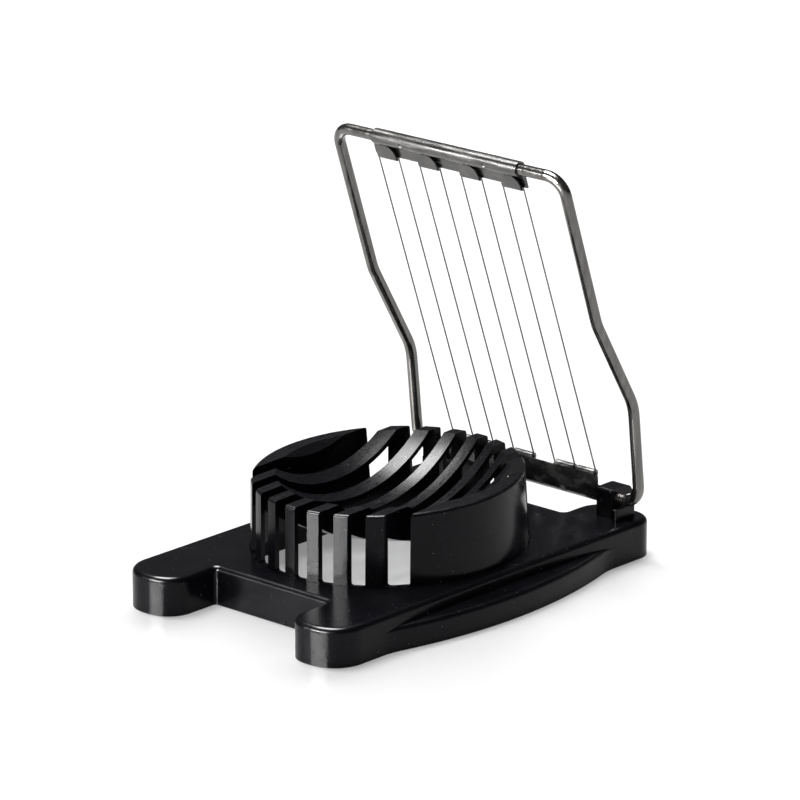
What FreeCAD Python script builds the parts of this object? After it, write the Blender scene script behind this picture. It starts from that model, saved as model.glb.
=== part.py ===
"""Wire egg slicer: a moulded base with a slotted egg cradle and a hinged wire frame.

The base stands on Z = 0 with its centre at the origin. X runs across the slicer, along the hinge,
and Y runs from the front feet to the hinge at the rear. All sizes are in millimetres.
"""
import FreeCAD, Part
import math
import os

os.makedirs("parts", exist_ok=True)

V = FreeCAD.Vector
X_AXIS = V(1, 0, 0)

# ---- Cutting wires and the slots they pass through ----
WIRE_COUNT = 8
WIRE_PITCH = 7.0
WIRE_DIAMETER = 0.4
SLOT_WIDTH = 3.8
OUTER_SLOT_EXTRA = 0.65
SLOT_FOOT_RADIUS = 0.7

# ---- Base tray ----
TRAY_LENGTH = 121.8
TRAY_SIDE_LAND = 3.5
TRAY_TOP = 10.2
TRAY_WALL = 1.8
PLATE_THICKNESS = 2.0
TRAY_EDGE_RADIUS = 1.5
FRONT_NOTCH_HALF_WIDTH = 19.4
FRONT_NOTCH_DEPTH = 16.6
FOOT_OUTER_RADIUS = 8.7
FOOT_INNER_RADIUS = 7.2
REAR_NOTCH_HALF_WIDTH = 17.6
REAR_NOTCH_DEPTH = 13.75
LOBE_OUTER_RADIUS = 6.2
LOBE_INNER_RADIUS = 8.0
NOTCH_CORNER_RADIUS = 1.0
LEDGE_BULGE = 6.2
LEDGE_RADIUS = 138.7
LEDGE_BLEND_RADIUS = 20.0
LEDGE_TOP = 6.5
LEDGE_EDGE_RADIUS = 1.2

# ---- Egg cradle ----
DRUM_END_WIDTH = 9.4
DRUM_FOOT_CENTRE_Y = -0.2
DRUM_FOOT_HALF_Y = 37.5
DRUM_RIM_CENTRE_Y = -1.1
DRUM_RIM_HALF_Y = 36.4
DRUM_SIDE_DRAFT = 0.5
DRUM_HEIGHT = 19.25
DRUM_STOCK = 2.0
DRUM_WALL = 1.3
RIM_TILT = 1.23
RIM_EDGE_RADIUS = 0.8
LAND_THICKNESS = 2.2
FLANGE_WIDTH = 2.0
FLANGE_THICKNESS = 1.5
SEAT_CLEARANCE = 0.2
HOLLOW_CENTRE_Y = -0.1
HOLLOW_DEPTH = 12.25
HOLLOW_HALF_X = 40.3
HOLLOW_HALF_Y = 42.6
HOLLOW_HALF_Z = 40.0
KEEL_DEPTH = 2.2
KEEL_HALF_X = 48.0
KEEL_HALF_Y = 45.2
KEEL_HALF_Z = 23.0
BAND_THICKNESS = 1.2
RIB_ROOT_HALF_X = 22.4
RIB_ROOT_HALF_Y = 25.4

# ---- Sheet steel strips ----
SHEET = 0.5
STRIP_END = 1.1
UPPER_SLEEVE_INSET = 1.3
SLEEVE_CLEARANCE = 0.03
STRIP_HOOK_LENGTH = 6.2
UPPER_HOOK_DROP = 6.0
UPPER_HOOK_HEIGHT = 4.4
UPPER_HOOK_BEND = 0.3
LOWER_CURL_REACH = 5.5
LOWER_CURL_RADIUS = 1.15
UPPER_WIRE_OFFSET = 0.55
LOWER_WIRE_OFFSET = -0.7
WIRE_SEAT_CLEARANCE = 0.03
DIMPLE_RADIUS = 1.4
DIMPLE_DEPTH = 0.3

# ---- Hinge hooks ----
HINGE_INSET = 8.0
HINGE_RISE = 5.08
HINGE_CLEARANCE = 0.06
HOOK_END_CLEARANCE = 0.3
HOOK_THICKNESS = 5.0
HOOK_FRONT = 2.6
HOOK_ARM = 1.2
HOOK_REACH = 5.9
HOOK_LIP_REACH = 2.4
HOOK_CORNER_RADIUS = 0.8
HOOK_TIP_HEIGHT = 0.5
HOOK_TIP_ROUND = 0.15
HOOK_MOUTH_TOP = 15.0
HOOK_MOUTH_FOOT = -45.0
SIDE_WALL_GAP = 1.3
SIDE_WALL_THICKNESS = 1.4
SIDE_WALL_CLEARANCE = 0.38
SIDE_WALL_LENGTH = 7.6
SIDE_WALL_CORNER_RADIUS = 0.6

# ---- Frame ----
ROD_DIAMETER = 3.0
FRAME_FRONT_GAP = 7.6
FRAME_SIDE_GAP = 2.2
FRAME_CORNER_RADIUS = 5.0
FRAME_ELEVATION = 71.17
LOWER_CRANK_REACH = 26.7
UPPER_CRANK_REACH = 54.9
CRANK_OFFSET = 6.0
CRANK_BEND_RADIUS = 14.0
ROD_END_GAP = 0.6

# ---- Places across, each from the one inside it ----
WIRE_XS = [(i - (WIRE_COUNT - 1) / 2) * WIRE_PITCH for i in range(WIRE_COUNT)]
DIMPLE_XS = (-2 * WIRE_PITCH, 2 * WIRE_PITCH)
DRUM_FOOT_HALF_X = WIRE_XS[-1] + DRUM_END_WIDTH
DRUM_RIM_HALF_X = DRUM_FOOT_HALF_X - DRUM_SIDE_DRAFT
TRAY_HALF_WIDTH = DRUM_FOOT_HALF_X + TRAY_SIDE_LAND
FLANGE_HALF_X = TRAY_HALF_WIDTH - TRAY_WALL - SEAT_CLEARANCE
LEDGE_HALF_WIDTH = TRAY_HALF_WIDTH + LEDGE_BULGE
STRIP_HALF_LENGTH = WIRE_XS[-1] + STRIP_END
UPPER_SLEEVE_HALF_LENGTH = STRIP_HALF_LENGTH - UPPER_SLEEVE_INSET
HOOK_INNER_X = STRIP_HALF_LENGTH + HOOK_END_CLEARANCE
HOOK_OUTER_X = HOOK_INNER_X + HOOK_THICKNESS
FRAME_HALF_WIDTH = HOOK_OUTER_X + FRAME_SIDE_GAP + FRAME_CORNER_RADIUS

# ---- Places along and up ----
FRONT_Y = -TRAY_LENGTH / 2
REAR_Y = TRAY_LENGTH / 2
HINGE_Y = REAR_Y - HINGE_INSET
HINGE_HEIGHT = TRAY_TOP + HINGE_RISE
FRAME_LENGTH = HINGE_Y - (DRUM_FOOT_CENTRE_Y - DRUM_FOOT_HALF_Y) + FRAME_FRONT_GAP
FLANGE_TOP = TRAY_TOP - PLATE_THICKNESS
FLANGE_FOOT = FLANGE_TOP - FLANGE_THICKNESS
FLANGE_HALF_Y = DRUM_FOOT_HALF_Y + FLANGE_WIDTH
RIM_HEIGHT = TRAY_TOP + DRUM_HEIGHT
STOCK_TOP = RIM_HEIGHT + DRUM_STOCK
HOLLOW_CENTRE = V(0, HOLLOW_CENTRE_Y, RIM_HEIGHT - HOLLOW_DEPTH + HOLLOW_HALF_Z)
KEEL_CENTRE = V(0, HOLLOW_CENTRE_Y, RIM_HEIGHT - HOLLOW_DEPTH - KEEL_DEPTH + KEEL_HALF_Z)

# ---- Bars and the raised frame's directions ----
ROD_RADIUS = ROD_DIAMETER / 2
WIRE_RADIUS = WIRE_DIAMETER / 2
SLEEVE_INNER = ROD_RADIUS + SLEEVE_CLEARANCE
SLEEVE_OUTER = SLEEVE_INNER + SHEET
ALONG = V(0, -math.cos(math.radians(FRAME_ELEVATION)), math.sin(math.radians(FRAME_ELEVATION)))
FORWARD = V(0, -ALONG.z, ALONG.y)
HINGE = V(0, HINGE_Y, HINGE_HEIGHT)


def frame_point(x, along, forward=0.0):
    """A point of the raised frame: across, up from the hinge axis and out from the frame's plane."""
    return HINGE + X_AXIS * x + ALONG * along + FORWARD * forward


def save(shape, node):
    shape.exportStep(os.path.join("parts", node + ".step"))


def mirrored(shape):
    return shape.mirror(V(0, 0, 0), X_AXIS)


def block(x0, x1, y0, y1, z0, z1):
    return Part.makeBox(x1 - x0, y1 - y0, z1 - z0, V(x0, y0, z0))


def ellipsoid(half_x, half_y, half_z, centre):
    stretch = FreeCAD.Matrix()
    stretch.scale(half_x, half_y, half_z)
    shape = Part.makeSphere(1.0).transformGeometry(stretch)
    shape.translate(centre)
    return shape


def ellipse_wire(half_x, half_y, centre_y, z):
    centre = V(0, centre_y, z)
    if half_y > half_x:
        curve = Part.Ellipse(centre + V(0, half_y, 0), centre + V(-half_x, 0, 0), centre)
    else:
        curve = Part.Ellipse(centre + V(half_x, 0, 0), centre + V(0, half_y, 0), centre)
    return Part.Wire(curve.toShape())


def ellipse_prism(half_x, half_y, centre_y, z0, z1):
    return Part.Face(ellipse_wire(half_x, half_y, centre_y, z0)).extrude(V(0, 0, z1 - z0))


def rounded_outline(corners):
    """Closed outline through (x, y, radius) corners, each rounded by its own radius."""
    count = len(corners)
    starts, ends, middles = [], [], []
    for i, (x, y, radius) in enumerate(corners):
        here = V(x, y, 0)
        before = V(*corners[i - 1][:2], 0) - here
        after = V(*corners[(i + 1) % count][:2], 0) - here
        before.normalize()
        after.normalize()
        half_angle = before.getAngle(after) / 2
        inward = before + after
        inward.normalize()
        starts.append(here + before * (radius / math.tan(half_angle)))
        ends.append(here + after * (radius / math.tan(half_angle)))
        middles.append(here + inward * (radius / math.sin(half_angle) - radius))
    edges = []
    for i in range(count):
        if corners[i][2] > 0:
            edges.append(Part.Arc(starts[i], middles[i], ends[i]).toShape())
        following = starts[(i + 1) % count]
        if (following - ends[i]).Length > 1e-6:
            edges.append(Part.LineSegment(ends[i], following).toShape())
    return Part.Wire(edges)


# ---------------------------------------------------------------- base tray

def plate_face():
    """Plan of the tray's top plate, with a notch at each end."""
    front_floor = FRONT_Y + FRONT_NOTCH_DEPTH
    rear_floor = REAR_Y - REAR_NOTCH_DEPTH
    right = [
        (FRONT_NOTCH_HALF_WIDTH, front_floor, NOTCH_CORNER_RADIUS),
        (FRONT_NOTCH_HALF_WIDTH, FRONT_Y, FOOT_INNER_RADIUS),
        (TRAY_HALF_WIDTH, FRONT_Y, FOOT_OUTER_RADIUS),
        (TRAY_HALF_WIDTH, REAR_Y, LOBE_OUTER_RADIUS),
        (REAR_NOTCH_HALF_WIDTH, REAR_Y, LOBE_INNER_RADIUS),
        (REAR_NOTCH_HALF_WIDTH, rear_floor, NOTCH_CORNER_RADIUS),
    ]
    left = [(-x, y, radius) for x, y, radius in reversed(right)]
    return Part.Face(rounded_outline(right + left))


def ledge_face():
    """Plan of the right-hand ledge: one long arc that flows into the tray's side at both ends."""
    arc_centre_x = LEDGE_HALF_WIDTH - LEDGE_RADIUS
    blend_x = TRAY_HALF_WIDTH + LEDGE_BLEND_RADIUS
    reach = math.sqrt((LEDGE_RADIUS + LEDGE_BLEND_RADIUS) ** 2 - (blend_x - arc_centre_x) ** 2)
    to_blend = V(blend_x - arc_centre_x, reach, 0)
    to_blend.normalize()
    join = V(arc_centre_x, 0, 0) + to_blend * LEDGE_RADIUS
    half_turn = math.atan2(to_blend.y, to_blend.x) / 2
    blend_middle = V(
        blend_x - LEDGE_BLEND_RADIUS * math.cos(half_turn),
        reach - LEDGE_BLEND_RADIUS * math.sin(half_turn),
        0,
    )
    flip = lambda p: V(p.x, -p.y, 0)
    end = V(TRAY_HALF_WIDTH, reach, 0)
    inside = V(TRAY_HALF_WIDTH - 2 * TRAY_WALL, reach, 0)
    edges = [
        Part.Arc(end, blend_middle, join).toShape(),
        Part.Arc(join, V(LEDGE_HALF_WIDTH, 0, 0), flip(join)).toShape(),
        Part.Arc(flip(join), flip(blend_middle), flip(end)).toShape(),
        Part.LineSegment(flip(end), flip(inside)).toShape(),
        Part.LineSegment(flip(inside), inside).toShape(),
        Part.LineSegment(inside, end).toShape(),
    ]
    return Part.Face(Part.Wire(edges))


def edges_at_height(shape, z):
    return [e for e in shape.Edges if abs(e.BoundBox.ZMin - z) < 1e-4 and abs(e.BoundBox.ZMax - z) < 1e-4]


def tray_shell():
    """Plate with rounded top edges over crescent ledges, hollow underneath."""
    plan = plate_face()
    plate = plan.extrude(V(0, 0, TRAY_TOP))
    plate = plate.makeFillet(TRAY_EDGE_RADIUS, edges_at_height(plate, TRAY_TOP))
    ledge = ledge_face().extrude(V(0, 0, LEDGE_TOP))
    outer_edges = [e for e in edges_at_height(ledge, LEDGE_TOP) if e.BoundBox.XMax > TRAY_HALF_WIDTH + 0.01]
    ledge = ledge.makeFillet(LEDGE_EDGE_RADIUS, outer_edges)
    body = plate.fuse([ledge, mirrored(ledge)]).removeSplitter()
    whole_plan = plan.fuse([ledge_face(), mirrored(ledge_face())]).removeSplitter().Faces[0]
    upper_room = plan.makeOffset2D(-TRAY_WALL)
    lower_room = whole_plan.makeOffset2D(-TRAY_WALL)
    upper_room = upper_room.extrude(V(0, 0, TRAY_TOP - PLATE_THICKNESS))
    lower_room = lower_room.extrude(V(0, 0, LEDGE_TOP - TRAY_WALL))
    return body.cut(upper_room.fuse(lower_room))


def hook_profile():
    """Side outline of a hinge hook about the hinge axis, open to the rear under its tip."""
    bore = ROD_RADIUS + HINGE_CLEARANCE
    top = bore + HOOK_ARM
    foot = -HINGE_RISE
    corner = HOOK_CORNER_RADIUS
    tip = HOOK_TIP_HEIGHT
    diagonal = 1 - math.sqrt(0.5)
    at = lambda y, z: V(0, HINGE_Y + y, HINGE_HEIGHT + z)
    on_bore = lambda degrees: V(0, HINGE_Y, HINGE_HEIGHT) + V(
        0, bore * math.cos(math.radians(degrees)), bore * math.sin(math.radians(degrees))
    )
    tip_low = at(HOOK_REACH - tip, 0)
    edges = [
        Part.LineSegment(at(-HOOK_FRONT, foot), at(-HOOK_FRONT, top - corner)).toShape(),
        Part.Arc(
            at(-HOOK_FRONT, top - corner),
            at(-HOOK_FRONT + corner * diagonal, top - corner * diagonal),
            at(-HOOK_FRONT + corner, top),
        ).toShape(),
        Part.LineSegment(at(-HOOK_FRONT + corner, top), at(HOOK_REACH - top, top)).toShape(),
        Part.Arc(
            at(HOOK_REACH - top, top),
            at(HOOK_REACH - top * diagonal, top * math.sqrt(0.5)),
            at(HOOK_REACH, tip),
        ).toShape(),
        Part.Arc(at(HOOK_REACH, tip), at(HOOK_REACH - HOOK_TIP_ROUND, HOOK_TIP_ROUND), tip_low).toShape(),
        Part.LineSegment(tip_low, on_bore(HOOK_MOUTH_TOP)).toShape(),
        Part.Arc(on_bore(HOOK_MOUTH_TOP), on_bore(180), on_bore(HOOK_MOUTH_FOOT)).toShape(),
        Part.LineSegment(on_bore(HOOK_MOUTH_FOOT), at(HOOK_LIP_REACH, -bore)).toShape(),
        Part.LineSegment(at(HOOK_LIP_REACH, -bore), at(HOOK_LIP_REACH, foot)).toShape(),
        Part.LineSegment(at(HOOK_LIP_REACH, foot), at(-HOOK_FRONT, foot)).toShape(),
    ]
    return Part.Face(Part.Wire(edges))


def hinge_hook():
    hook = hook_profile().extrude(X_AXIS * HOOK_THICKNESS)
    hook.translate(X_AXIS * HOOK_INNER_X)
    return hook


def side_wall():
    """Low wall on the plate, just under the rod outboard of the hook."""
    x0 = HOOK_OUTER_X + SIDE_WALL_GAP
    y0 = HINGE_Y - SIDE_WALL_LENGTH / 2
    top = HINGE_HEIGHT - ROD_RADIUS - SIDE_WALL_CLEARANCE
    wall = block(x0, x0 + SIDE_WALL_THICKNESS, y0, y0 + SIDE_WALL_LENGTH, TRAY_TOP, top)
    ends = [e for e in wall.Edges if abs(e.BoundBox.ZMax - top) < 1e-4 and e.BoundBox.YLength < 1e-4]
    return wall.makeFillet(SIDE_WALL_CORNER_RADIUS, ends)


def base_tray():
    body = tray_shell()
    opening = ellipse_prism(
        DRUM_FOOT_HALF_X + SEAT_CLEARANCE,
        DRUM_FOOT_HALF_Y + SEAT_CLEARANCE,
        DRUM_FOOT_CENTRE_Y,
        0,
        TRAY_TOP,
    )
    body = body.cut(opening)
    for piece in (hinge_hook(), side_wall()):
        body = body.fuse([piece, mirrored(piece)])
    return body.removeSplitter()


# ---------------------------------------------------------------- egg cradle

def below_rim(depth):
    """Room under a plane that lies below the drum's rim by a depth and rises to the rear with it."""
    room = block(-TRAY_LENGTH, TRAY_LENGTH, -TRAY_LENGTH, TRAY_LENGTH, -TRAY_LENGTH, 0)
    room.rotate(V(0, 0, 0), X_AXIS, RIM_TILT)
    room.translate(V(0, 0, RIM_HEIGHT - depth))
    return room


def drum():
    """Oval drum with a slight draft, standing on a flange that seats under the tray's plate."""
    foot = ellipse_wire(DRUM_FOOT_HALF_X, DRUM_FOOT_HALF_Y, DRUM_FOOT_CENTRE_Y, TRAY_TOP)
    stock = ellipse_wire(DRUM_RIM_HALF_X, DRUM_RIM_HALF_Y, DRUM_RIM_CENTRE_Y, STOCK_TOP)
    wall = Part.makeLoft([foot, stock], True, True).common(below_rim(0))
    rim = max(wall.Faces, key=lambda face: face.CenterOfMass.z)
    wall = wall.makeFillet(RIM_EDGE_RADIUS, rim.Edges)
    neck = ellipse_prism(DRUM_FOOT_HALF_X, DRUM_FOOT_HALF_Y, DRUM_FOOT_CENTRE_Y, FLANGE_FOOT, TRAY_TOP)
    flange = ellipse_prism(FLANGE_HALF_X, FLANGE_HALF_Y, DRUM_FOOT_CENTRE_Y, FLANGE_FOOT, FLANGE_TOP)
    return wall.fuse([neck, flange])


def underside_room():
    """Space inside the drum under the ribs, and behind their roots up to the bands and the land."""
    cavity = ellipse_prism(
        DRUM_RIM_HALF_X - DRUM_WALL,
        DRUM_RIM_HALF_Y - DRUM_WALL,
        DRUM_RIM_CENTRE_Y,
        FLANGE_FOOT,
        STOCK_TOP,
    )
    below_ribs = cavity.cut(ellipsoid(KEEL_HALF_X, KEEL_HALF_Y, KEEL_HALF_Z, KEEL_CENTRE))
    band = ellipsoid(
        HOLLOW_HALF_X + BAND_THICKNESS,
        HOLLOW_HALF_Y + BAND_THICKNESS,
        HOLLOW_HALF_Z + BAND_THICKNESS,
        HOLLOW_CENTRE,
    )
    roots = ellipse_prism(RIB_ROOT_HALF_X, RIB_ROOT_HALF_Y, HOLLOW_CENTRE_Y, FLANGE_FOOT, STOCK_TOP)
    rear_half = block(WIRE_XS[0], WIRE_XS[-1], 0, DRUM_RIM_HALF_Y, FLANGE_FOOT, STOCK_TOP)
    behind_roots = cavity.common(rear_half).common(below_rim(LAND_THICKNESS)).cut([roots, band])
    return below_ribs.common(below_rim(LAND_THICKNESS)).fuse(behind_roots)


def wire_slot(x):
    """Slot through the drum for one wire, rounded at its foot. The outermost ones are wider outward."""
    half = SLOT_WIDTH / 2
    left = x - half - (OUTER_SLOT_EXTRA if x == WIRE_XS[0] else 0)
    right = x + half + (OUTER_SLOT_EXTRA if x == WIRE_XS[-1] else 0)
    slot = block(left, right, -FLANGE_HALF_Y, FLANGE_HALF_Y, TRAY_TOP, STOCK_TOP)
    foot_edges = [e for e in edges_at_height(slot, TRAY_TOP) if e.BoundBox.YLength > FLANGE_HALF_Y]
    return slot.makeFillet(SLOT_FOOT_RADIUS, foot_edges)


def egg_cradle():
    hollow = ellipsoid(HOLLOW_HALF_X, HOLLOW_HALF_Y, HOLLOW_HALF_Z, HOLLOW_CENTRE)
    body = drum().cut(hollow).cut(underside_room())
    return body.cut([wire_slot(x) for x in WIRE_XS])


# ---------------------------------------------------------------- frame

def round_bar(points, radius):
    """Solid round bar along (point, bend radius) corners: straight runs joined by tangent bends."""
    pieces = []
    last = points[0][0]
    for (before, _), (corner, bend), (after, _) in zip(points, points[1:], points[2:]):
        back = before - corner
        on = after - corner
        back.normalize()
        on.normalize()
        half_angle = back.getAngle(on) / 2
        inward = back + on
        inward.normalize()
        start = corner + back * (bend / math.tan(half_angle))
        pieces.append(Part.makeCylinder(radius, (start - last).Length, last, start - last))
        section = Part.Face(Part.Wire(Part.Circle(start, back, radius).toShape()))
        centre = corner + inward * (bend / math.sin(half_angle))
        turn = 180 - math.degrees(2 * half_angle)
        pieces.append(section.revolve(centre, on.cross(back), turn))
        last = corner + on * (bend / math.tan(half_angle))
    end = points[-1][0]
    pieces.append(Part.makeCylinder(radius, (end - last).Length, last, end - last))
    return pieces[0].fuse(pieces[1:])


def frame_rod():
    """One rod bent to a closed frame. Its ends meet inside the lower strip, on the hinge axis."""
    right = [
        (frame_point(ROD_END_GAP / 2, 0), 0),
        (frame_point(FRAME_HALF_WIDTH, 0), FRAME_CORNER_RADIUS),
        (frame_point(FRAME_HALF_WIDTH, LOWER_CRANK_REACH, -CRANK_OFFSET), CRANK_BEND_RADIUS),
        (frame_point(FRAME_HALF_WIDTH, UPPER_CRANK_REACH), CRANK_BEND_RADIUS),
        (frame_point(FRAME_HALF_WIDTH, FRAME_LENGTH), FRAME_CORNER_RADIUS),
    ]
    left = [(V(-p.x, p.y, p.z), radius) for p, radius in reversed(right)]
    return round_bar(right + left, ROD_RADIUS)


# ---------------------------------------------------------------- strips

def across(x0, x1, outline):
    """Prism across the slicer from an outline of (along, forward) points in the frame's side view."""
    points = [frame_point(x0, along, forward) for along, forward in outline]
    return Part.Face(Part.makePolygon(points + points[:1])).extrude(X_AXIS * (x1 - x0))


def tube(x0, x1, along, forward, inner, outer):
    start = frame_point(x0, along, forward)
    length = x1 - x0
    return Part.makeCylinder(outer, length, start, X_AXIS).cut(
        Part.makeCylinder(inner, length, start, X_AXIS)
    )


def dimple(x, along):
    """Pressed dimple in front of a sleeve, which grips the rod."""
    return Part.makeSphere(DIMPLE_RADIUS, frame_point(x, along, SLEEVE_OUTER + DIMPLE_RADIUS - DIMPLE_DEPTH))


def upper_hook(x):
    """Half-moon tongue folded up in front of the flange, with room for the wire in its fold."""
    fold = FRAME_LENGTH - UPPER_HOOK_DROP + UPPER_HOOK_BEND + SHEET
    inner = UPPER_HOOK_BEND
    outer = UPPER_HOOK_BEND + SHEET
    x0 = x - STRIP_HOOK_LENGTH / 2
    x1 = x + STRIP_HOOK_LENGTH / 2
    middle = UPPER_WIRE_OFFSET
    ring = tube(x0, x1, fold, middle, inner, outer)
    above = across(x0, x1, [
        (fold, middle - outer - 1),
        (fold, middle + outer + 1),
        (fold + outer + 1, middle + outer + 1),
        (fold + outer + 1, middle - outer - 1),
    ])
    top = fold - outer + UPPER_HOOK_HEIGHT
    tongue = across(x0, x1, [
        (fold, middle + inner),
        (fold, middle + outer),
        (top, middle + outer),
        (top, middle + inner),
    ])
    rise = top - fold
    half = STRIP_HOOK_LENGTH / 2
    radius = (half ** 2 + rise ** 2) / (2 * rise)
    moon = Part.makeCylinder(radius, 4 * outer, frame_point(x, top - radius, middle - 2 * outer), FORWARD)
    return ring.cut(above).fuse(tongue.common(moon))


def upper_strip():
    """Sleeve round the top bar with a slightly longer flange below it, which carries the hooks."""
    flange_mid = UPPER_WIRE_OFFSET - UPPER_HOOK_BEND - SHEET / 2
    flange_foot = FRAME_LENGTH - UPPER_HOOK_DROP + UPPER_HOOK_BEND + SHEET
    sleeve_start = frame_point(-UPPER_SLEEVE_HALF_LENGTH, FRAME_LENGTH)
    sleeve_length = 2 * UPPER_SLEEVE_HALF_LENGTH
    body = Part.makeCylinder(SLEEVE_OUTER, sleeve_length, sleeve_start, X_AXIS)
    flange = across(-STRIP_HALF_LENGTH, STRIP_HALF_LENGTH, [
        (flange_foot, flange_mid - SHEET / 2),
        (flange_foot, flange_mid + SHEET / 2),
        (FRAME_LENGTH - ROD_RADIUS, flange_mid + SHEET / 2),
        (FRAME_LENGTH - ROD_RADIUS, flange_mid - SHEET / 2),
    ])
    pair_middles = [(a + b) / 2 for a, b in zip(WIRE_XS[0::2], WIRE_XS[1::2])]
    body = body.fuse([flange] + [upper_hook(x) for x in pair_middles])
    bore_start = frame_point(-STRIP_HALF_LENGTH, FRAME_LENGTH)
    bore = Part.makeCylinder(SLEEVE_INNER, 2 * STRIP_HALF_LENGTH, bore_start, X_AXIS)
    dimples = [dimple(x, FRAME_LENGTH) for x in DIMPLE_XS]
    return body.cut([bore] + dimples).removeSplitter()


def outer_tangent(r0, r1, along, forward):
    """Unit vector square to the front tangent of two circles, one at the axis and one at an offset."""
    distance = math.hypot(along, forward)
    slope = math.atan2(forward, along)
    lean = math.acos((r0 - r1) / distance)
    return math.cos(slope + lean), math.sin(slope + lean)


def lower_strip():
    """Sleeve round the hinge run, a flange in front of the wires and curls that hold them."""
    x0 = -STRIP_HALF_LENGTH
    x1 = STRIP_HALF_LENGTH
    curl_inner = LOWER_CURL_RADIUS - SHEET
    square_along, square_forward = outer_tangent(
        SLEEVE_OUTER, LOWER_CURL_RADIUS, LOWER_CURL_REACH, LOWER_WIRE_OFFSET
    )
    on_sleeve = lambda r: (r * square_along, r * square_forward)
    on_curl = lambda r: (
        LOWER_CURL_REACH + r * square_along,
        LOWER_WIRE_OFFSET + r * square_forward,
    )
    flange = across(x0, x1, [
        on_sleeve(SLEEVE_INNER),
        on_sleeve(SLEEVE_OUTER),
        on_curl(LOWER_CURL_RADIUS),
        on_curl(curl_inner),
    ])
    half = STRIP_HOOK_LENGTH / 2
    middles = [(a + b) / 2 for a, b in zip(WIRE_XS[1:-1:2], WIRE_XS[2::2])]
    spans = [(m - half, m + half) for m in middles]
    spans.append((WIRE_XS[-1] - STRIP_HOOK_LENGTH, WIRE_XS[-1] - WIRE_DIAMETER))
    spans.append((WIRE_XS[0] + WIRE_DIAMETER, WIRE_XS[0] + STRIP_HOOK_LENGTH))
    curls = [tube(a, b, LOWER_CURL_REACH, LOWER_WIRE_OFFSET, curl_inner, LOWER_CURL_RADIUS) for a, b in spans]
    body = Part.makeCylinder(SLEEVE_OUTER, x1 - x0, frame_point(x0, 0), X_AXIS)
    bore = Part.makeCylinder(SLEEVE_INNER, x1 - x0, frame_point(x0, 0), X_AXIS)
    dimples = [dimple(x, 0) for x in DIMPLE_XS]
    return body.fuse([flange] + curls).cut([bore] + dimples).removeSplitter()


# ---------------------------------------------------------------- wires

def wire_span(index):
    """One span of the cutting wire with half of each turn round its hooks."""
    x = WIRE_XS[index]
    low = LOWER_CURL_REACH + LOWER_CURL_RADIUS - SHEET - WIRE_RADIUS - WIRE_SEAT_CLEARANCE
    high = FRAME_LENGTH - UPPER_HOOK_DROP + SHEET + WIRE_RADIUS + WIRE_SEAT_CLEARANCE
    half = WIRE_PITCH / 2
    upward = 1 if index % 2 == 0 else -1
    downward = -upward
    if index in (0, WIRE_COUNT - 1):
        downward = -downward
    start = frame_point(x + downward * half, low, LOWER_WIRE_OFFSET)
    path = Part.makePolygon([
        start,
        frame_point(x, low, LOWER_WIRE_OFFSET),
        frame_point(x, high, UPPER_WIRE_OFFSET),
        frame_point(x + upward * half, high, UPPER_WIRE_OFFSET),
    ])
    section = Part.Wire(Part.Circle(start, X_AXIS, WIRE_RADIUS).toShape())
    sharp_corners = 1
    return path.makePipeShell([section], True, False, sharp_corners)


save(base_tray(), "base_tray")
save(egg_cradle(), "egg_cradle")
save(frame_rod(), "frame_rod")
save(upper_strip(), "upper_strip")
save(lower_strip(), "lower_strip")
for number in range(WIRE_COUNT):
    save(wire_span(number), "cutting_wire_%d" % (number + 1))
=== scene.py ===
"""Looks for the wire egg slicer: finishes, studio floor, lamps and camera. Lengths are in metres."""
import bpy
import math
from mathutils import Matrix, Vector

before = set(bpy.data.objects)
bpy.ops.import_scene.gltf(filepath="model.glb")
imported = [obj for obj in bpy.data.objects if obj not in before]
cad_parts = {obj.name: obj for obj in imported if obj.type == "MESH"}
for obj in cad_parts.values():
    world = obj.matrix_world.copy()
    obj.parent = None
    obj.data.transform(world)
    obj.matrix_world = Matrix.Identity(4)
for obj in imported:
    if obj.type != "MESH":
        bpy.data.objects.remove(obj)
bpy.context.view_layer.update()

# ---- Camera, which looks at AIM from AZIMUTH and ELEVATION in degrees ----
AZIMUTH = 42.1
ELEVATION = 17.6
DISTANCE = 1.5441
AIM = Vector((-0.0314, 0.0382, 0.0320))
LENS_MM = 265.8
SENSOR_MM = 36.0
CLIP_START = 0.05
CLIP_END = 50.0

# ---- Floor: half its width, its two mixed greys, its polish and its own glow where it is seen ----
FLOOR_HALF = 6.0
FLOOR_DARK = (0.74, 0.74, 0.74)
FLOOR_PALE = (0.76, 0.76, 0.76)
FLOOR_SPECK_SCALE = 40
FLOOR_ROUGHNESS = 0.2
FLOOR_GLOW = 0.23

# ---- Lamps, which all point at LAMP_TARGET. The cards show in gloss only, the back one never does ----
WORLD_STRENGTH = 0.10
LAMP_TARGET = Vector((0, 0, 0.03))
LAMPS = {
    # name: (place, width, height, watts, shows in matte light, shows in gloss)
    "top_softbox": ((-0.58, 0.0, 2.33), 0.6, 1.45, 43, True, True),
    "back_softbox": ((-0.80, 1.08, 0.95), 2.0, 1.2, 38, True, False),
    "top_card": ((-0.53, 0.0, 2.33), 1.1, 1.6, 390, False, True),
    "front_card": ((-0.18, -1.25, 0.42), 1.15, 0.25, 135, False, True),
}

# ---- Noise scales, in cells to the metre, and the parts of the noise's range that are used ----
HAZE_SCALE = 90
STAIN_SCALE = 160
BLOTCH_SCALE = 300
ROD_LINE_SCALE = 900
DUST_SCALE = 1300
SHEET_LINE_SCALE = 1400
GRAIN_SCALE = 1500
STREAK_SCALE = 2000
FULL = (0.0, 1.0)
MIDDLE = (0.3, 0.7)
BLOTCH_RANGE = (0.35, 0.65)
STREAK_RANGE = (0.38, 0.62)
DUST_RANGE = (0.75, 0.80)

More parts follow.
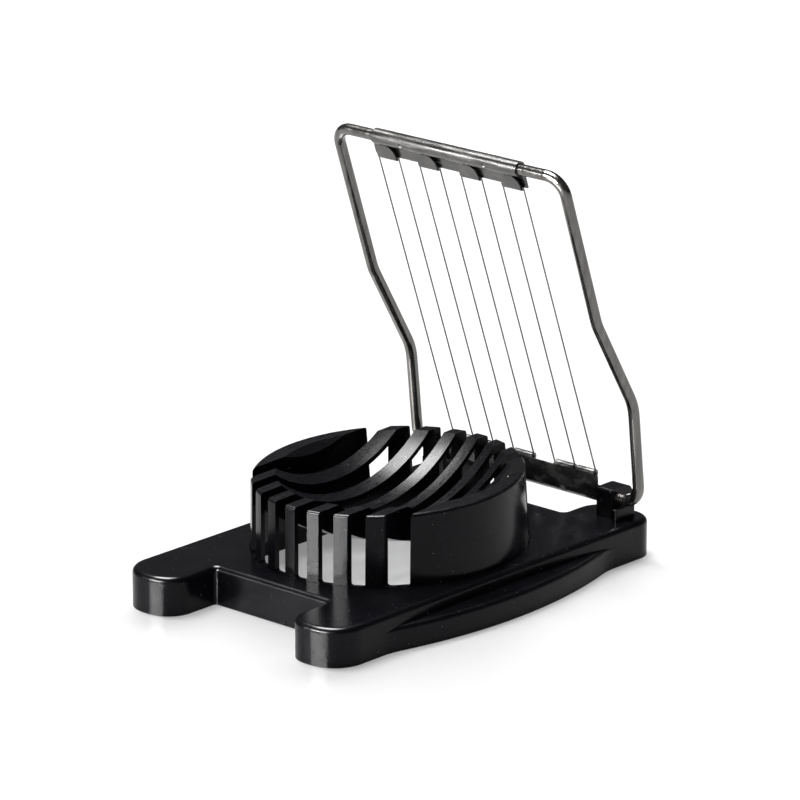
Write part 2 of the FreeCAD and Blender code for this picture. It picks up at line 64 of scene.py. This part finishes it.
# ---- Stretches that draw noise out into lines along an axis ----
ALONG_ROD = (1, 1, 0.05)
ALONG_SHEET = (0.08, 1, 1)
BLOTCH_STRETCH = (0.6, 1, 1)
ALONG_SLOTS = (1, 0.1, 1)

# ---- Black plastic of the tray and the cradle ----
PLASTIC_DARK = (0.0018, 0.0018, 0.0032)
TRAY_PALE = (0.0036, 0.0036, 0.0060)
CRADLE_PALE = (0.0040, 0.0040, 0.0064)
DUST = (0.09, 0.09, 0.095)
PLASTIC_SPECULAR = 0.12
FACING_UP = (0.15, 0.5)

# ---- Depth of the fine relief ----
PLASTIC_RELIEF = 0.00002
METAL_RELIEF = 0.00003


class Graph:
    """Short hand for building a material's nodes."""

    def __init__(self, name):
        self.material = bpy.data.materials.new(name)
        self.material.use_nodes = True
        self.tree = self.material.node_tree
        self.tree.nodes.clear()
        self.output = self.add("ShaderNodeOutputMaterial")

    def add(self, kind, **settings):
        node = self.tree.nodes.new(kind)
        for key, value in settings.items():
            setattr(node, key, value)
        return node

    def feed(self, value, socket):
        """Links another node's output to a socket, or sets the socket to a constant."""
        if isinstance(value, bpy.types.NodeSocket):
            self.tree.links.new(value, socket)
        else:
            socket.default_value = value

    def combine(self, operation, first, second):
        node = self.add("ShaderNodeMath", operation=operation)
        self.feed(first, node.inputs[0])
        self.feed(second, node.inputs[1])
        return node.outputs["Value"]

    def noise(self, scale, detail, stretch=(1, 1, 1), roughness=0.5):
        mapping = self.add("ShaderNodeMapping")
        mapping.inputs["Scale"].default_value = stretch
        self.feed(self.add("ShaderNodeTexCoord").outputs["Object"], mapping.inputs["Vector"])
        node = self.add("ShaderNodeTexNoise")
        node.inputs["Scale"].default_value = scale
        node.inputs["Detail"].default_value = detail
        node.inputs["Roughness"].default_value = roughness
        self.feed(mapping.outputs["Vector"], node.inputs["Vector"])
        return node.outputs["Fac"]

    def remap(self, value, old_range, new_range):
        node = self.add("ShaderNodeMapRange")
        for key, end in zip(("From Min", "From Max", "To Min", "To Max"), old_range + new_range):
            node.inputs[key].default_value = end
        self.feed(value, node.inputs["Value"])
        return node.outputs["Result"]

    def upward(self, value):
        """Keeps a value on faces that look up, and fades it to nothing on upright walls."""
        parts = self.add("ShaderNodeSeparateXYZ")
        self.feed(self.add("ShaderNodeTexCoord").outputs["Normal"], parts.inputs["Vector"])
        return self.combine("MULTIPLY", self.remap(parts.outputs["Z"], FACING_UP, FULL), value)

    def mix(self, factor, low, high):
        """Mixes two colours. The lower one may be another node's output."""
        node = self.add("ShaderNodeMix", data_type="RGBA")
        self.feed(factor, node.inputs["Factor"])
        self.feed(low if isinstance(low, bpy.types.NodeSocket) else (*low, 1), node.inputs["A"])
        node.inputs["B"].default_value = (*high, 1)
        return node.outputs["Result"]

    def dusted(self, colour):
        """A colour with sparse specks of pale dust, about a third of a millimetre across."""
        return self.mix(self.remap(self.noise(DUST_SCALE, 1), DUST_RANGE, FULL), colour, DUST)

    def bump(self, height, strength, distance):
        node = self.add("ShaderNodeBump")
        node.inputs["Strength"].default_value = strength
        node.inputs["Distance"].default_value = distance
        self.feed(height, node.inputs["Height"])
        return node.outputs["Normal"]

    def shader(self, **sockets):
        node = self.add("ShaderNodeBsdfPrincipled")
        for key, value in sockets.items():
            self.feed(value, node.inputs[key.replace("_", " ")])
        self.feed(node.outputs["BSDF"], self.output.inputs["Surface"])
        return node


def black_plastic():
    g = Graph("black_plastic")
    haze = g.noise(HAZE_SCALE, 4)
    g.shader(
        Base_Color=g.dusted(g.mix(haze, PLASTIC_DARK, TRAY_PALE)),
        Roughness=g.remap(haze, MIDDLE, (0.20, 0.28)),
        Specular_IOR_Level=PLASTIC_SPECULAR,
        Normal=g.bump(g.noise(GRAIN_SCALE, 4), 0.08, PLASTIC_RELIEF),
    )
    return g.material


def worn_plastic():
    """The cradle's plastic, with fine streaks along the slots from years of eggs and wires."""
    g = Graph("worn_plastic")
    haze = g.noise(HAZE_SCALE, 4)
    streaks = g.noise(STREAK_SCALE, 4, ALONG_SLOTS, roughness=0.7)
    wear = g.upward(g.remap(streaks, STREAK_RANGE, (0.4, 1.0)))
    g.shader(
        Base_Color=g.dusted(g.mix(haze, PLASTIC_DARK, CRADLE_PALE)),
        Roughness=g.remap(wear, FULL, (0.20, 0.34)),
        Specular_IOR_Level=PLASTIC_SPECULAR,
        Normal=g.bump(wear, 0.13, PLASTIC_RELIEF),
    )
    return g.material


def drawn_rod():
    g = Graph("steel_rod")
    lines = g.noise(ROD_LINE_SCALE, 3, ALONG_ROD)
    g.shader(
        Base_Color=g.mix(lines, (0.065, 0.062, 0.060), (0.21, 0.203, 0.195)),
        Metallic=1.0,
        Roughness=g.remap(lines, MIDDLE, (0.13, 0.24)),
        Normal=g.bump(lines, 0.05, METAL_RELIEF),
    )
    return g.material


def rolled_sheet():
    """The upper strip's sheet, rolled along its length and a little stained."""
    g = Graph("sheet_steel")
    lines = g.noise(SHEET_LINE_SCALE, 3, ALONG_SHEET)
    stain = g.noise(STAIN_SCALE, 4)
    g.shader(
        Base_Color=g.mix(stain, (0.06, 0.06, 0.062), (0.155, 0.151, 0.145)),
        Metallic=1.0,
        Roughness=g.remap(lines, MIDDLE, (0.17, 0.31)),
        Normal=g.bump(lines, 0.10, METAL_RELIEF),
    )
    return g.material


def dulled_sheet():
    """The lower strip's sheet, dulled in blotches by water and handling."""
    g = Graph("dull_sheet_steel")
    lines = g.noise(SHEET_LINE_SCALE, 3, ALONG_SHEET)
    blotch = g.noise(BLOTCH_SCALE, 5, BLOTCH_STRETCH)
    tarnish = g.remap(blotch, BLOTCH_RANGE, FULL)
    g.shader(
        Base_Color=g.mix(tarnish, (0.05, 0.05, 0.053), (0.13, 0.127, 0.122)),
        Metallic=1.0,
        Roughness=g.remap(blotch, BLOTCH_RANGE, (0.21, 0.33)),
        Normal=g.bump(lines, 0.10, METAL_RELIEF),
    )
    return g.material


def drawn_wire():
    g = Graph("wire_steel")
    lines = g.noise(GRAIN_SCALE, 2, ALONG_ROD)
    g.shader(
        Base_Color=g.mix(lines, (0.07, 0.07, 0.07), (0.14, 0.14, 0.14)),
        Metallic=1.0,
        Roughness=g.remap(lines, MIDDLE, (0.3, 0.4)),
    )
    return g.material


def pale_floor():
    """White floor. It glows to the camera and in reflections, so the lamps still draw its shadow."""
    g = Graph("pale_floor")
    speck = g.noise(FLOOR_SPECK_SCALE, 2)
    white = g.shader(
        Base_Color=g.mix(speck, FLOOR_DARK, FLOOR_PALE),
        Roughness=FLOOR_ROUGHNESS,
    )
    rays = g.add("ShaderNodeLightPath").outputs
    seen = g.combine("MAXIMUM", rays["Is Camera Ray"], rays["Is Glossy Ray"])
    seen = g.combine("MAXIMUM", seen, rays["Is Transmission Ray"])
    glow = g.add("ShaderNodeEmission")
    g.feed(g.combine("MULTIPLY", seen, FLOOR_GLOW), glow.inputs["Strength"])
    both = g.add("ShaderNodeAddShader")
    g.feed(white.outputs["BSDF"], both.inputs[0])
    g.feed(glow.outputs["Emission"], both.inputs[1])
    g.feed(both.outputs["Shader"], g.output.inputs["Surface"])
    return g.material


def give(material, *names):
    for name in names:
        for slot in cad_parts[name].material_slots:
            slot.material = material


def place_object(name, data):
    thing = bpy.data.objects.new(name, data)
    bpy.context.scene.collection.objects.link(thing)
    return thing


def aim(thing, place, target):
    thing.location = place
    thing.rotation_euler = (target - place).to_track_quat("-Z", "Y").to_euler()


def make_floor():
    corners = [(x * FLOOR_HALF, y * FLOOR_HALF, 0) for x, y in ((-1, -1), (1, -1), (1, 1), (-1, 1))]
    mesh = bpy.data.meshes.new("floor")
    mesh.from_pydata(corners, [], [(0, 1, 2, 3)])
    mesh.materials.append(pale_floor())
    floor = place_object("floor", mesh)


def make_lamp(name, place, width, height, watts, matte, gloss):
    lamp = bpy.data.lights.new(name, "AREA")
    lamp.shape = "RECTANGLE"
    lamp.size = width
    lamp.size_y = height
    lamp.energy = watts
    thing = place_object(name, lamp)
    thing.visible_diffuse = matte
    thing.visible_glossy = gloss
    aim(thing, Vector(place), LAMP_TARGET)


def light_studio():
    world = bpy.data.worlds.new("studio")
    bpy.context.scene.world = world
    world.use_nodes = True
    background = world.node_tree.nodes["Background"]
    background.inputs["Color"].default_value = (1, 1, 1, 1)
    background.inputs["Strength"].default_value = WORLD_STRENGTH
    for name, settings in LAMPS.items():
        make_lamp(name, *settings)


def place_camera():
    data = bpy.data.cameras.new("camera")
    data.lens = LENS_MM
    data.sensor_width = SENSOR_MM
    data.clip_start = CLIP_START
    data.clip_end = CLIP_END
    around = math.radians(AZIMUTH)
    above = math.radians(ELEVATION)
    back = Vector((
        math.sin(around) * math.cos(above),
        -math.cos(around) * math.cos(above),
        math.sin(above),
    ))
    camera = place_object("camera", data)
    aim(camera, AIM + back * DISTANCE, AIM)
    bpy.context.scene.camera = camera


give(black_plastic(), "base_tray")
give(worn_plastic(), "egg_cradle")
give(drawn_rod(), "frame_rod")
give(rolled_sheet(), "upper_strip")
give(dulled_sheet(), "lower_strip")
give(drawn_wire(), *("cutting_wire_%d" % number for number in range(1, 9)))
make_floor()
light_studio()
place_camera()
bpy.context.scene.view_settings.view_transform = "Standard"
